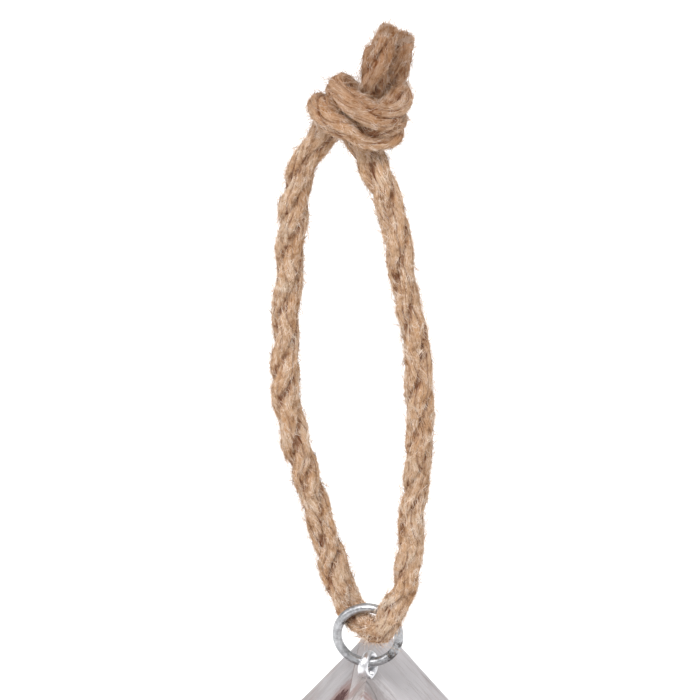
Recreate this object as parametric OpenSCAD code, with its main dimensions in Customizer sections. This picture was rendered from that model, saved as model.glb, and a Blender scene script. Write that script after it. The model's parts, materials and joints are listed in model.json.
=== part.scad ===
// House-shaped hanging candle lantern on a knotted rope.
// The origin is where a hook bears: inside the top of the rope loop.
// +Z is up and the door faces -Y.

/* [House] */
// Width across the outsides of the side walls
body_w = 112; // [96:1:136]
// Thickness of the side walls
wall_t = 8; // [6:0.5:10]
// Height of the ridge above the top of the base
house_h = 168; // [150:1:210]
// Thickness of the base board
base_t = 8; // [6:0.5:12]
// How far the base board stands out past each side wall
base_lip = 6; // [2:0.5:12]
// Thickness of the front gable board
gable_t = 7; // [5:0.5:9]
// Diameter of the vent holes in both gables
vent_d = 6; // [4:0.5:8]

/* [Roof] */
// Pitch of each roof slope in degrees
roof_pitch = 50; // [44:1:54]
// Thickness of the roof boards
roof_t = 8; // [6:0.5:10]
// How far the roof and the base stand out past the walls, front and back
roof_over = 1.5; // [1:0.5:8]
// Level distance that the eaves stand out past the walls
eave_over = 16; // [8:1:24]

/* [Back] */
// Thickness of the back panel
back_t = 5; // [4:0.5:7]
// Width of the back window opening
back_win_w = 60; // [40:1:68]
// Height of the back window opening
back_win_h = 56; // [40:1:66]
// Overlap of the panes on the wood around them
pane_lap = 4; // [3:0.5:5]
// Thickness of the panes
pane_t = 2; // [1.5:0.1:2.5]
// Width of the back glazing beads
back_bead_w = 6; // [5:0.5:8]
// Thickness of the back glazing beads
back_bead_t = 2.5; // [2:0.5:3]

/* [Door] */
// Height of the door
door_h = 83; // [76:1:92]
// Thickness of the door
door_t = 7; // [6:0.5:9]
// Width of the stiles and rails
stile_w = 14; // [12:0.5:18]
// Gap between the door and what is around it
door_gap = 0.6; // [0.5:0.1:1.2]
// Depth of the rebate that holds the pane and its beads
rebate = 4; // [3.5:0.5:4.5]
// Widest swing of the door in degrees, for drawing it open
door_open = 0; // [0:5:110]

/* [Hinges and furniture] */
// Outer diameter of the hinge barrels
barrel_d = 3; // [2.6:0.1:3.4]
// Diameter of the hinge pins
pin_d = 1.3; // [1:0.1:1.5]
// Height of each hinge
hinge_h = 16; // [12:1:20]
// Thickness of the hinge leaves
leaf_t = 0.8; // [0.6:0.1:1]
// Diameter of the wooden door knob
knob_d = 11; // [8:0.5:14]
// Length of the turn button
button_len = 22; // [18:1:26]
// Width of the turn button
button_w = 6; // [5:0.5:7]
// Thickness of the turn button
button_t = 1.5; // [1:0.1:2]

/* [Candle cup] */
// Inside diameter of the candle cup
cup_d = 40; // [39:0.5:42]
// Inside depth of the candle cup
cup_h = 9; // [8:0.5:14]
// Thickness of the cup's metal
cup_t = 0.6; // [0.5:0.1:0.8]
// Room left in front of the cup and behind it
cup_room = 1.05; // [0.8:0.05:6]

/* [Hanger] */
// Thickness of the rope
rope_d = 8; // [7.5:0.1:8.2]
// Thickness of the ring's wire
ring_wire = 2.7; // [2.4:0.1:2.8]
// Outside diameter of the ring
ring_od = 20.4; // [20:0.1:21]
// Thickness of the screw eye's wire
eye_wire = 1.7; // [1.5:0.1:1.9]
// Inside diameter of the screw eye
eye_id = 4.4; // [4.2:0.1:4.8]
// Turn of the screw eye away from the line of the ridge, in degrees
eye_turn = 22; // [0:1:25]

/* [Hidden] */
$fn = 48;
eps = 0.01;
fit = 0.05;          // radial room around nails, screws and the hinge pins
mitre_gap = 0.1;     // gap at each end of a glazing bead

// Hanger: ring centre, and the ridge under it
ring_x = 8;
ring_z = -157.7;
ring_r = (ring_od - ring_wire) / 2;
hang_gap = 0.3;      // room between the ring's wire and the top of the eye
eye_r = (eye_id + eye_wire) / 2;
eye_bite = 1;        // depth that the eye sinks into the ridge
eye_z = ring_z - ring_r - (eye_id - ring_wire) / 2 + hang_gap;
ridge_z = eye_z - eye_r - eye_wire / 2 + eye_bite;

// House, measured from the middle of the ridge
rim_r = cup_d / 2 + 2 * cup_t;
wall_d = door_t + 2 * (rim_r + cup_room) + back_bead_t + back_t;
roof_len = wall_d + 2 * roof_over;
wall_x = body_w / 2;
roof_half = wall_x + eave_over;
room_x = wall_x - wall_t;
front_y = -wall_d / 2;
back_y = wall_d / 2;
floor_z = -house_h;
slope = tan(roof_pitch);
roof_drop = roof_t / cos(roof_pitch);
end_strip = roof_t / sin(180 - 2 * roof_pitch);
door_top = floor_z + door_gap + door_h;
gable_z = door_top + door_gap;
door_x = room_x - door_gap;
door_back = front_y + door_t;
win_z = floor_z + door_gap + door_h / 2;
back_in = back_y - back_t;
cup_y = door_back + rim_r + cup_room;

// Wood screws and nails: [shank radius, length, head radius, head height]
roof_nail = [0.7, 24, 1.1, 0.8];
nail_sink = 1.5;     // depth of a roof nail's head under the slope above its middle
wall_nail = [0.7, 15, 1.7, 0.7];
base_screw = [1.4, 22, 2.8, 1.8];
leaf_screw = [0.7, 4.5, 1.3, 0.5];
stud = [1.3, 7, 2.6, 1.4];

// Hinges
hinge_x = -room_x + door_gap / 2;
hinge_y = front_y - barrel_d / 2 - 0.3;
hinge_zs = [win_z - door_h / 2 + 18, win_z + door_h / 2 - 18];
knuckle_gap = 0.3;
leaf_in = barrel_d / 2 + 0.3;
wall_leaf_w = wall_t - 2.5;
door_leaf_w = 8;
screw_drop = hinge_h / 2 - 3;

// Door furniture
knob_x = door_x - stile_w / 2;
knob_z = win_z - 6;
knob_len = 11;
button_x = room_x + wall_t / 2;
button_z = door_top - 20;
washer_t = 0.5;
washer_r = 2.4;

// Fixings down the roof and the walls
roof_nail_x = [wall_x - wall_t / 2, wall_x - wall_t / 2, 30, 30];
roof_nail_y = [-wall_d / 4, wall_d / 4, front_y + gable_t / 2, back_y - back_t / 2];
wall_nail_z = [floor_z + 25, floor_z + 65];
base_screw_y = 16;

// Centre line of the rope loop, from the knot round through the ring and back
rope_loop = [[-5.2, 3, -1.4], [-9.8, 3.2, -7.5], [-12.3, 4, -15], [-13.6, 5, -26], [-14.5, 5, -38],
             [-15.6, 5, -54], [-16, 5, -70], [-16, 5, -84], [-14.2, 5, -95],
             [-11, 5.5, -108], [-7.6, 6.2, -119], [-5.4, 6.8, -129], [-2.5, 7.2, -139],
             [-0.3, 7.3, -147], [1.2, 7, -151], [3.2, 5.6, -154.4], [5.8, 2.8, -156],
             [8, 0, -156.3], [10, -2.8, -155.7], [12, -5.4, -153.9],
             [13.5, -6.9, -150.6], [15, -7.2, -146.8], [18, -7.1, -140], [20.1, -6.8, -130],
             [20.8, -6.2, -121], [22.1, -5.5, -107], [23, -5, -92], [22.7, -5, -75],
             [21.5, -5, -58], [18.4, -5, -41], [15.9, -4, -24], [11.6, -3, -11], [7.4, -1, -3.3]];
// Centre lines of the two cut ends that stand up out of the knot
rope_end_a = [[9.6, -2.6, 16.5], [10.4, -2.2, 23.5], [11.7, -2, 30.5], [12.8, -2, 35.5]];
rope_end_b = [[13.6, 4.8, 14], [14.8, 4.8, 19], [16.4, 4.6, 25], [17.5, 4.5, 30]];
end_room = 0.25;     // how much thinner the pressed ends are than the rope, all round
knot_low = [2, 1, 8.5];
knot_mid = [6, 0, 12.5];
knot_high = [9.5, 0, 9];

// ---- shared shapes ----

// Moves a shape from the middle of the ridge to its place under the hook
module house() {
    translate([ring_x, 0, ridge_z])
        children();
}

// Box from its low corner to its high corner
module span(low, high) {
    translate(low)
        cube(high - low);
}

// Nail or screw along -Z with its flat head's top at the origin
module fixing(size, grow = 0) {
    translate([0, 0, -size[1]])
        cylinder(r = size[0] + grow, h = size[1]);
    translate([0, 0, -size[3]])
        cylinder(r = size[2] + grow, h = size[3]);
}

// Screw along -Z with a raised round head over a shank that starts at the origin
module raised_screw(size, grow = 0) {
    difference() {
        union() {
            translate([0, 0, -size[1]])
                cylinder(r = size[0] + grow, h = size[1] + eps);
            cylinder(r = size[2] + grow, h = size[3]);
        }
        if (grow == 0)
            translate([-size[2], -size[0] / 4, size[3] / 2])
                cube([2 * size[2], size[0] / 2, size[3]]);
    }
}

function unit(v) = v / norm(v);

// Direction of a route at one of its points
function along(path, i) =
    unit(path[min(i + 1, len(path) - 1)] - path[max(i - 1, 0)]);

// Round tube of straight stretches through the points of a route
module tube(path, radius, sides) {
    count = len(path);
    side = [for (i = [0 : count - 1]) unit(cross(along(path, i), [0.6, -0.77, 0.2]))];
    points = [for (i = [0 : count - 1], k = [0 : sides - 1])
        let (up = cross(side[i], along(path, i)), turn = 360 * k / sides)
        path[i] + radius * (cos(turn) * side[i] + sin(turn) * up)];
    walls = [for (i = [0 : count - 2], k = [0 : sides - 1])
        let (next = (k + 1) % sides)
        [i * sides + k, i * sides + next, (i + 1) * sides + next, (i + 1) * sides + k]];
    first = [for (k = [0 : sides - 1]) sides - 1 - k];
    last = [for (k = [0 : sides - 1]) (count - 1) * sides + k];
    polyhedron(points, concat(walls, [first, last]), convexity = 6);
}

// ---- hanger ----

module rope() {
    color("tan")
        tube(rope_loop, rope_d / 2, 10);
}

module rope_knot() {
    color("peru")
        difference() {
            hull() {
                translate(knot_low)
                    sphere(r = 9.5, $fn = 24);
                translate(knot_mid)
                    sphere(r = 9, $fn = 24);
                translate(knot_high)
                    sphere(r = 10, $fn = 24);
            }
            rope();
            rope_ends();
        }
}

module rope_ends() {
    color("tan") {
        tube(rope_end_a, rope_d / 2 - end_room, 10);
        tube(rope_end_b, rope_d / 2 - end_room, 10);
    }
}

module hanging_ring() {
    color("silver")
        translate([ring_x, 0, ring_z])
        rotate([90, 0, 0])
        rotate_extrude()
            translate([ring_r, 0])
            circle(d = ring_wire);
}

// Loop and threaded shank of the eye, drawn larger for the seat that it bites
module eye_shape(grow = 0) {
    translate([0, 0, eye_z - ridge_z])
        rotate([90, 0, 90 - eye_turn])
        rotate_extrude()
            translate([eye_r, 0])
            circle(d = eye_wire + 2 * grow);
    translate([0, 0, -11])
        cylinder(d = eye_wire + 2 * grow, h = 11 - eye_bite + eye_wire / 2);
}

module screw_eye() {
    color("gainsboro")
        house()
        eye_shape();
}

// ---- roof ----

// Point on a slope's outer face at a level distance from the ridge
function slope_at(x) = [x, -abs(x) * slope];

// Square-cut lower edge of a slope's inner face
function eave_in(side) =
    [side * (roof_half - roof_t * sin(roof_pitch)),
     -roof_half * slope - roof_t * cos(roof_pitch)];

module board_profile(outline) {
    translate([0, roof_len / 2, 0])
        rotate([90, 0, 0])
        linear_extrude(roof_len)
        polygon(outline);
}

// Four upright nails through one slope; side is -1 for the left and 1 for the right
module slope_nails(side) {
    for (i = [0 : 3])
        translate([side * roof_nail_x[i], roof_nail_y[i],
                   -roof_nail_x[i] * slope - nail_sink])
            fixing(roof_nail);
}

// Their holes, each open to the slope above the nail's sunk head
module slope_holes(side) {
    for (i = [0 : 3])
        translate([side * roof_nail_x[i], roof_nail_y[i],
                   -roof_nail_x[i] * slope - nail_sink]) {
            fixing(roof_nail, fit);
            translate([0, 0, -eps])
                cylinder(r = roof_nail[2] + fit, h = 3 * nail_sink);
        }
}

module roof_board_left() {
    strip_x = -end_strip * cos(roof_pitch);
    color("lightgray")
        house()
        difference() {
            board_profile([slope_at(strip_x), slope_at(-roof_half), eave_in(-1),
                           [0, -roof_drop]]);
            slope_holes(-1);
            eye_shape(fit);
        }
}

module roof_board_right() {
    strip_x = -end_strip * cos(roof_pitch);
    color("silver")
        house()
        difference() {
            board_profile([[0, 0], slope_at(strip_x), [0, -roof_drop], eave_in(1),
                           slope_at(roof_half)]);
            slope_holes(1);
            eye_shape(fit);
        }
}

module roof_nails() {
    color("dimgray")
        house() {
            slope_nails(-1);
            slope_nails(1);
        }
}

// ---- walls ----

// Board across the house, up to the undersides of the roof
module cross_board(y_low, thick, bottom) {
    translate([0, y_low + thick, 0])
        rotate([90, 0, 0])
        linear_extrude(thick)
        polygon([[-room_x, bottom], [room_x, bottom],
                 [room_x, -room_x * slope - roof_drop], [0, -roof_drop],
                 [-room_x, -room_x * slope - roof_drop]]);
}

// Three vent holes in a triangle, through anything from front to back
module vents() {
    pitch = 2 * vent_d;
    for (at = [[-pitch / 2, 0], [pitch / 2, 0], [0, pitch * 0.87]])
        translate([at[0], -wall_d, gable_z + 19 + at[1]])
            rotate([-90, 0, 0])
            cylinder(d = vent_d, h = 2 * wall_d);
}

// Nails through one side wall into the edge of the back panel
module side_nails(side, grow = 0) {
    for (z = wall_nail_z)
        translate([side * wall_x, back_y - back_t / 2, z])
            rotate([0, side * 90, 0])
            fixing(wall_nail, grow);
}

// Screws up through the base into both side walls
module floor_screws(grow = 0) {
    for (x = [-1, 1], y = [-1, 1])
        translate([x * (wall_x - wall_t / 2), y * base_screw_y, floor_z - base_t])
            rotate([180, 0, 0])
            fixing(base_screw, grow);
}

module side_wall(side) {
    difference() {
        translate([0, back_y, 0])
            rotate([90, 0, 0])
            linear_extrude(wall_d)
            polygon([[side * room_x, floor_z], [side * wall_x, floor_z],
                     [side * wall_x, -wall_x * slope - roof_drop],
                     [side * room_x, -room_x * slope - roof_drop]]);
        slope_holes(side);
        side_nails(side, fit);
        floor_screws(fit);
        button_place()
            raised_screw(stud, fit);
        hinge_screw_places(-1)
            fixing(leaf_screw, fit);
    }
}

module side_wall_left() {
    color("lightgray")
        house()
        side_wall(-1);
}

module side_wall_right() {
    color("lightgray")
        house()
        side_wall(1);
}

module front_gable() {
    color("whitesmoke")
        house()
        difference() {
            cross_board(front_y, gable_t, gable_z);
            vents();
            slope_holes(-1);
            slope_holes(1);
        }
}

module base_board() {
    color("darkgray")
        house()
        difference() {
            span([-wall_x - base_lip, -roof_len / 2, floor_z - base_t],
                 [wall_x + base_lip, roof_len / 2, floor_z]);
            floor_screws(fit);
            cup_screw_shape(fit);
        }
}

module wall_nails() {
    color("dimgray")
        house() {
            side_nails(-1);
            side_nails(1);
        }
}

module base_screws() {
    color("dimgray")
        house()
        difference() {
            floor_screws();
            for (x = [-1, 1], y = [-1, 1])
                translate([x * (wall_x - wall_t / 2), y * base_screw_y,
                           floor_z - base_t + 0.4])
                    cube([2 * base_screw[2], 0.8, 0.8 + eps], center = true);
        }
}

// ---- back ----

// Block over the back window, grown all round
module window_block(grow, y_low, y_high) {
    span([-back_win_w / 2 - grow, y_low, win_z - back_win_h / 2 - grow],
         [back_win_w / 2 + grow, y_high, win_z + back_win_h / 2 + grow]);
}

module back_panel() {
    color("lightgray")
        house()
        difference() {
            cross_board(back_in, back_t, floor_z);
            window_block(0, back_in - 1, back_y + 1);
            window_block(pane_lap, back_in - 1, back_in + pane_t);
            vents();
            slope_holes(-1);
            slope_holes(1);
            side_nails(-1, fit);
            side_nails(1, fit);
        }
}

module back_pane() {
    color("lightblue")
        house()
        window_block(pane_lap, back_in, back_in + pane_t);
}

// Four mitred beads around an opening, on a plane facing front or back
module bead_frame(half_w, half_h, bead_w, bead_t) {
    for (turn = [0, 180])
        rotate([0, turn, 0]) {
            bead_bar(half_w, half_h, bead_w, bead_t);
            rotate([0, 90, 0])
                bead_bar(half_h, half_w, bead_w, bead_t);
        }
}

// One bead along X below the middle, with ends cut at 45 degrees
module bead_bar(half_long, off, bead_w, bead_t) {
    reach = half_long - mitre_gap;
    rotate([90, 0, 0])
        linear_extrude(bead_t)
        polygon([[-reach, -off], [reach, -off],
                 [reach - bead_w, -off + bead_w], [-reach + bead_w, -off + bead_w]]);
}

module back_beads() {
    half_w = back_win_w / 2 + back_bead_w;
    half_h = back_win_h / 2 + back_bead_w;
    color("darkgray")
        house()
        translate([0, back_in, win_z])
        bead_frame(half_w, half_h, back_bead_w, back_bead_t);
}

// ---- door ----

// Moves a shape from the middle of the ridge to the door, swung open
module on_door() {
    house()
        translate([hinge_x, hinge_y, 0])
        rotate([0, 0, -door_open])
        translate([-hinge_x, -hinge_y, 0])
        children();
}

// Rebate for the pane and its beads, cut from the back of the door
module door_rebate() {
    span([-door_x + stile_w - rebate, door_back - rebate, win_z - door_h / 2 + stile_w - rebate],
         [door_x - stile_w + rebate, door_back + 1, win_z + door_h / 2 - stile_w + rebate]);
}

module door_stile_left() {
    color("whitesmoke")
        on_door()
        difference() {
            span([-door_x, front_y, win_z - door_h / 2],
                 [-door_x + stile_w, door_back, win_z + door_h / 2]);
            door_rebate();
            hinge_screw_places(1)
                fixing(leaf_screw, fit);
        }
}

module door_stile_right() {
    color("whitesmoke")
        on_door()
        difference() {
            span([door_x - stile_w, front_y, win_z - door_h / 2],
                 [door_x, door_back, win_z + door_h / 2]);
            door_rebate();
            knob_screw_shape(fit);
        }
}

// Rail between the stiles, with its lower edge at a given height
module door_rail(bottom) {
    difference() {
        span([-door_x + stile_w, front_y, bottom],
             [door_x - stile_w, door_back, bottom + stile_w]);
        door_rebate();
    }
}

module door_rail_top() {
    color("gainsboro")
        on_door()
        door_rail(win_z + door_h / 2 - stile_w);
}

module door_rail_bottom() {
    color("gainsboro")
        on_door()
        door_rail(win_z - door_h / 2);
}

module door_pane() {
    color("lightblue")
        on_door()
        span([-door_x + stile_w - rebate, door_back - rebate,
              win_z - door_h / 2 + stile_w - rebate],
             [door_x - stile_w + rebate, door_back - rebate + pane_t,
              win_z + door_h / 2 - stile_w + rebate]);
}

module door_beads() {
    half_w = door_x - stile_w + rebate;
    half_h = door_h / 2 - stile_w + rebate;
    color("darkgray")
        on_door()
        translate([0, door_back, win_z])
        bead_frame(half_w, half_h, rebate, rebate - pane_t);
}

// ---- hinges ----

// Screw places on one side of the barrels: -1 on the wall, 1 on the door
module hinge_screw_places(side) {
    off = side < 0 ? leaf_in + wall_leaf_w / 2 : leaf_in + door_leaf_w / 2;
    for (z = hinge_zs, up = [-1, 1])
        translate([hinge_x + side * off, front_y - leaf_t, z + up * screw_drop])
            rotate([90, 0, 0])
            children();
}

// One leaf with its knuckles, each given by its low and high end from the middle
module hinge_leaf(side, width, knuckles) {
    difference() {
        union() {
            span([side < 0 ? -leaf_in - width : leaf_in, 0, -hinge_h / 2],
                 [side < 0 ? -leaf_in : leaf_in + width, leaf_t, hinge_h / 2]);
            for (k = knuckles) {
                translate([0, hinge_y - front_y + leaf_t, k[0]])
                    cylinder(d = barrel_d, h = k[1] - k[0]);
                span([side < 0 ? -leaf_in - eps : 0, 0, k[0]],
                     [side < 0 ? 0 : leaf_in + eps, leaf_t, k[1]]);
            }
        }
        translate([0, hinge_y - front_y + leaf_t, -hinge_h / 2 - 1])
            cylinder(d = pin_d + 2 * fit, h = hinge_h + 2);
    }
}

module hinge_leaves_wall() {
    third = hinge_h / 6;
    color("silver")
        house()
        difference() {
            for (z = hinge_zs)
                translate([hinge_x, front_y - leaf_t, z])
                    hinge_leaf(-1, wall_leaf_w,
                               [[-hinge_h / 2, -third - knuckle_gap / 2],
                                [third + knuckle_gap / 2, hinge_h / 2]]);
            hinge_screw_places(-1)
                fixing(leaf_screw, fit);
        }
}

module hinge_leaves_door() {
    third = hinge_h / 6;
    color("silver")
        on_door()
        difference() {
            for (z = hinge_zs)
                translate([hinge_x, front_y - leaf_t, z])
                    hinge_leaf(1, door_leaf_w,
                               [[-third + knuckle_gap / 2, third - knuckle_gap / 2]]);
            hinge_screw_places(1)
                fixing(leaf_screw, fit);
        }
}

module hinge_pins() {
    color("dimgray")
        house()
        for (z = hinge_zs)
            translate([hinge_x, hinge_y, z - hinge_h / 2 - 0.6]) {
                cylinder(d = pin_d, h = hinge_h + 1.2);
                for (end = [0, hinge_h + 0.6])
                    translate([0, 0, end])
                        cylinder(d = barrel_d - 0.4, h = 0.6);
            }
}

module hinge_screws_wall() {
    color("gray")
        house()
        hinge_screw_places(-1)
        fixing(leaf_screw);
}

module hinge_screws_door() {
    color("gray")
        on_door()
        hinge_screw_places(1)
        fixing(leaf_screw);
}

// ---- knob, turn button and cup ----

// Screw from the back of the stile into the knob
module knob_screw_shape(grow = 0) {
    translate([knob_x, door_back, knob_z])
        rotate([-90, 0, 0])
        fixing([stud[0], door_t + 6, stud[2], stud[3]], grow);
}

module door_knob() {
    color("burlywood")
        on_door()
        difference() {
            translate([knob_x, front_y, knob_z])
                rotate([90, 0, 0])
                rotate_extrude()
                difference() {
                    union() {
                        square([knob_d * 0.36, 1.2]);
                        square([knob_d * 0.25, knob_len / 2]);
                        translate([0, knob_len - knob_d / 2])
                            circle(d = knob_d);
                    }
                    translate([-knob_d, -knob_d])
                        square([knob_d, 4 * knob_d]);
                    translate([-knob_d, -2 * knob_d])
                        square([3 * knob_d, 2 * knob_d]);
                }
            knob_screw_shape(fit);
        }
}

module knob_screw() {
    color("gray")
        on_door()
        knob_screw_shape();
}

// Places a shape on the right wall's front edge, pointing forwards
module button_place() {
    translate([button_x, front_y, button_z])
        rotate([90, 0, 0])
        children();
}

module turn_button() {
    run = button_len - button_w;
    color("goldenrod")
        house()
        button_place()
        translate([0, 0, washer_t + fit])
        difference() {
            union() {
                translate([-button_w / 2, -run / 2, 0])
                    cube([button_w, run, button_t]);
                for (y = [-run / 2, run / 2])
                    translate([0, y, 0])
                        cylinder(d = button_w, h = button_t);
            }
            translate([0, 0, -1])
                cylinder(r = stud[0] + fit, h = button_t + 2);
        }
}

module button_washer() {
    color("silver")
        house()
        button_place()
        difference() {
            cylinder(r = washer_r, h = washer_t);
            translate([0, 0, -1])
                cylinder(r = stud[0] + fit, h = washer_t + 2);
        }
}

module button_screw() {
    color("gray")
        house()
        button_place()
        difference() {
            union() {
                translate([0, 0, -stud[1]])
                    cylinder(r = stud[0], h = stud[1] + washer_t + button_t + 2 * fit + eps);
                translate([0, 0, washer_t + button_t + 2 * fit])
                    cylinder(r = stud[2], h = stud[3]);
            }
            translate([-stud[2], -0.4, washer_t + button_t + 2 * fit + stud[3] / 2])
                cube([2 * stud[2], 0.8, stud[3]]);
        }
}

module candle_cup() {
    outer = cup_d / 2 + cup_t;
    color("silver")
        house()
        translate([0, cup_y, floor_z])
        difference() {
            rotate_extrude()
                difference() {
                    union() {
                        square([outer, cup_h + cup_t]);
                        translate([outer, cup_h])
                            circle(r = cup_t);
                    }
                    translate([0, cup_t])
                        square([cup_d / 2, cup_h + 4]);
                }
            translate([0, 0, -1])
                cylinder(r = stud[0] + fit, h = cup_t + 2);
        }
}

// Screw down through the middle of the cup into the base
module cup_screw_shape(grow = 0) {
    translate([0, cup_y, floor_z + cup_t])
        raised_screw([stud[0], base_t - 1.5, stud[2], 0.8], grow);
}

module cup_screw() {
    color("gray")
        house()
        cup_screw_shape();
}

rope();
rope_knot();
rope_ends();
hanging_ring();
screw_eye();
roof_board_left();
roof_board_right();
front_gable();
side_wall_left();
side_wall_right();
base_board();
back_panel();
back_pane();
back_beads();
door_stile_left();
door_stile_right();
door_rail_top();
door_rail_bottom();
door_pane();
door_beads();
hinge_leaves_wall();
hinge_leaves_door();
hinge_pins();
hinge_screws_wall();
hinge_screws_door();
door_knob();
knob_screw();
turn_button();
button_washer();
button_screw();
candle_cup();
cup_screw();
roof_nails();
wall_nails();
base_screws();
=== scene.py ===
"""Looks of a small hanging house lantern: jute loop, steel ring, whitewashed roof and house."""

import json
import math

import bmesh
import bpy
import numpy as np
from bpy.props import FloatProperty, FloatVectorProperty, IntProperty, PointerProperty
from mathutils import Matrix, Vector, noise

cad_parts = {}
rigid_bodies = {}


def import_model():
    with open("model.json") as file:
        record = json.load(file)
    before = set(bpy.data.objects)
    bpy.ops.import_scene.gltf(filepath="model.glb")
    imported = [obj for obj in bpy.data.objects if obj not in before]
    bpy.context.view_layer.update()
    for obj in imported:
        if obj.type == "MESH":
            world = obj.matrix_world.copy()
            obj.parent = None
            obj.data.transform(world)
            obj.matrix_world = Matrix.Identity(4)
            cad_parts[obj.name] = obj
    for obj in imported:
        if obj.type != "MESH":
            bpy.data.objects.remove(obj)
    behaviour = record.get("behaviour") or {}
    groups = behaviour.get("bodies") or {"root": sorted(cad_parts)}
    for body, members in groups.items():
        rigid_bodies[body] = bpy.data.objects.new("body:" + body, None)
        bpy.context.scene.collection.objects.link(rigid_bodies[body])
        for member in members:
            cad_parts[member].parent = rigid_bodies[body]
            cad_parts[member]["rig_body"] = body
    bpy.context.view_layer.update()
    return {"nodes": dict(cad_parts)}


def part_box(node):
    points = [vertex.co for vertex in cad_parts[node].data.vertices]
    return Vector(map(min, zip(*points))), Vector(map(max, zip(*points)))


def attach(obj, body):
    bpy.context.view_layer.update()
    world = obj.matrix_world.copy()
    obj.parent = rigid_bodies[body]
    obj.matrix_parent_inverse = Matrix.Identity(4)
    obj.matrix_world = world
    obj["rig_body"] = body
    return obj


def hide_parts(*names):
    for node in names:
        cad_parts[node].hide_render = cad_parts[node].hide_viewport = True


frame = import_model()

bl_info = {
    "name": "Hanging Lantern Looks",
    "version": (1, 0, 0),
    "blender": (4, 5, 0),
    "location": "View3D > Sidebar > Lantern",
    "description": "Builds the rope, the fittings and the wood finishes of a hanging house lantern",
    "category": "Object",
}

MM = 0.001

# The ring and the house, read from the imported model
RING_LOW, RING_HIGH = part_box("hanging_ring")
RING_MID = (RING_LOW + RING_HIGH) / 2
WIRE = (RING_HIGH.y - RING_LOW.y) / 2
RING_R = (RING_HIGH.x - RING_LOW.x) / 2 - WIRE
ROOF_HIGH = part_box("roof_board_right")[1]
BASE_LOW, BASE_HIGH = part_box("base_board")
MID_X = (BASE_LOW.x + BASE_HIGH.x) / 2

# Slope of the roof, and how far the screw eye's loop is turned away from the ridge
PITCH = math.radians(50)
EYE_TURN = math.radians(22)

# The grain of the house's boards
ACROSS = (1, 0, 0)
UPRIGHT = (0, 0, 1)

# Distance under which two points are one
WELD = 0.001 * MM

# How the rope's strands and fibres wander, as sizes and the lengths over which they change
LAY_WANDER = 0.75
LAY_WAVE = 24 * MM
STRAND_WANDER = 0.34
STRAND_WAVE = 8 * MM
SWELL = 0.13
SWELL_WAVE = 10 * MM
YARN_DEPTH = 0.2
FIBRE_DEPTH = 0.035
YARN_WANDER = 0.9
YARN_WAVE = 12 * MM
GIRTH_WANDER = 0.03
GIRTH_WAVE = 22 * MM
FIBRE_TURN = 0.24 / MM

# A strand's place and its half width and half depth, as shares of the rope's radius
STRAND_OUT = 0.46
STRAND_DEEP = 0.53
STRAND_WIDE = 0.6

# Where the rope is thicker or thinner: the middle in millimetres, by what share, over how far
GIRTHS = [
    ((9, -2, -6), 0.14, 9 * MM),
    ((8, 0, -155), -0.15, 6 * MM),
    ((-1.2, 7.4, -144), 0.22, 9 * MM),
]

# The first cut end slopes down on its left side; both ends taper a little
SLOPE_REACH = 8 * MM
SLOPE_DROP = 3.4 * MM
SLOPE_WAY = (-0.25, 0, 1.0)
TAPER_REACH = 2.6 * MM
TAPER = 0.16

# What a strand's points carry for its material
STRAND_MARKS = ("groove", "strand", "cut", "phase")

# The place on the rope behind the ring, where a shadow is painted
BEHIND_RING_SPOT = (2.3 * MM, 2.9 * MM, -154.8 * MM)

# The route of the rope, in millimetres: cut end, knot, left leg, ring, right leg, knot, cut end
KNOT_A = [
    (12.9, -2, 35.6), (11.7, -2, 30.5), (10.2, -2.2, 23.5), (9.2, -1.6, 17), (9, 2, 12),
    (11, 5.5, 8.5), (15, 4.5, 7.4), (17, 0, 6.8), (15.2, -4.8, 5.2), (10.8, -7.4, 4.4),
    (3.6, -8, 7.2), (-2.6, -6.2, 9.4), (-6.4, -1.5, 10.6), (-5, 3.5, 10.8), (-1.4, 6, 9),
    (-1.6, 4.8, 4), (-4.2, 3.4, 0.4),
]
LOOP = [
    (-7, 3, -3.2), (-9.8, 3.2, -7.5), (-12.3, 4, -15), (-13.6, 5, -26), (-14.5, 5, -38),
    (-15.6, 5, -54), (-16, 5, -70), (-16, 5, -84), (-14.2, 5, -95), (-11, 5.5, -108),
    (-7.4, 6.2, -119), (-5.2, 6.8, -129), (-2.9, 7.3, -138), (-0.9, 7.5, -146), (0.9, 7.1, -151),
    (3.2, 5.6, -153.6), (5.8, 2.8, -154.6), (8, 0, -154.9), (10, -2.8, -154.4), (12, -5.4, -153.2),
    (13.5, -6.9, -150.6), (15, -7.2, -146.8), (18, -7.1, -140), (20.1, -6.8, -130),
    (20.8, -6.2, -121), (22.1, -5.5, -107), (23, -5, -92), (22.7, -5, -75), (21.5, -5, -58),
    (18.4, -5, -41), (15.9, -4, -24), (11.6, -3, -11), (7.4, -1, -3.3),
]
KNOT_B = [
    (2.4, 3, 3.2), (0.6, 6.4, 9.4), (-1.6, 5.4, 13.6), (-1.8, 0, 15.4), (0.4, -5.2, 15.4),
    (4.2, -8.2, 13.6), (8.8, -9.2, 10.4), (13, -7.8, 8.6), (16, -3.6, 9.4), (16.2, 2, 10.8),
    (14.4, 5.2, 11.6), (13.2, 5.2, 14.6), (14.6, 4.8, 19.5), (16.2, 4.6, 26), (17.3, 4.5, 31.6),
]


def paint(red, green, blue):
    """A colour from its red, green and blue out of 255, as the shader wants it."""
    return tuple(
        c / 12.92 if c <= 0.04045 else ((c + 0.055) / 1.055) ** 2.4
        for c in (red / 255, green / 255, blue / 255)
    )


def colour(name, what, default):
    return FloatVectorProperty(
        name=name, description="Colour of " + what, default=default, subtype="COLOR", size=3,
        min=0, max=1,
    )


def length(name, description, default):
    return FloatProperty(name=name, description=description, default=default, unit="LENGTH")


def amount(name, description, default):
    return FloatProperty(name=name, description=description, default=default)


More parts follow.
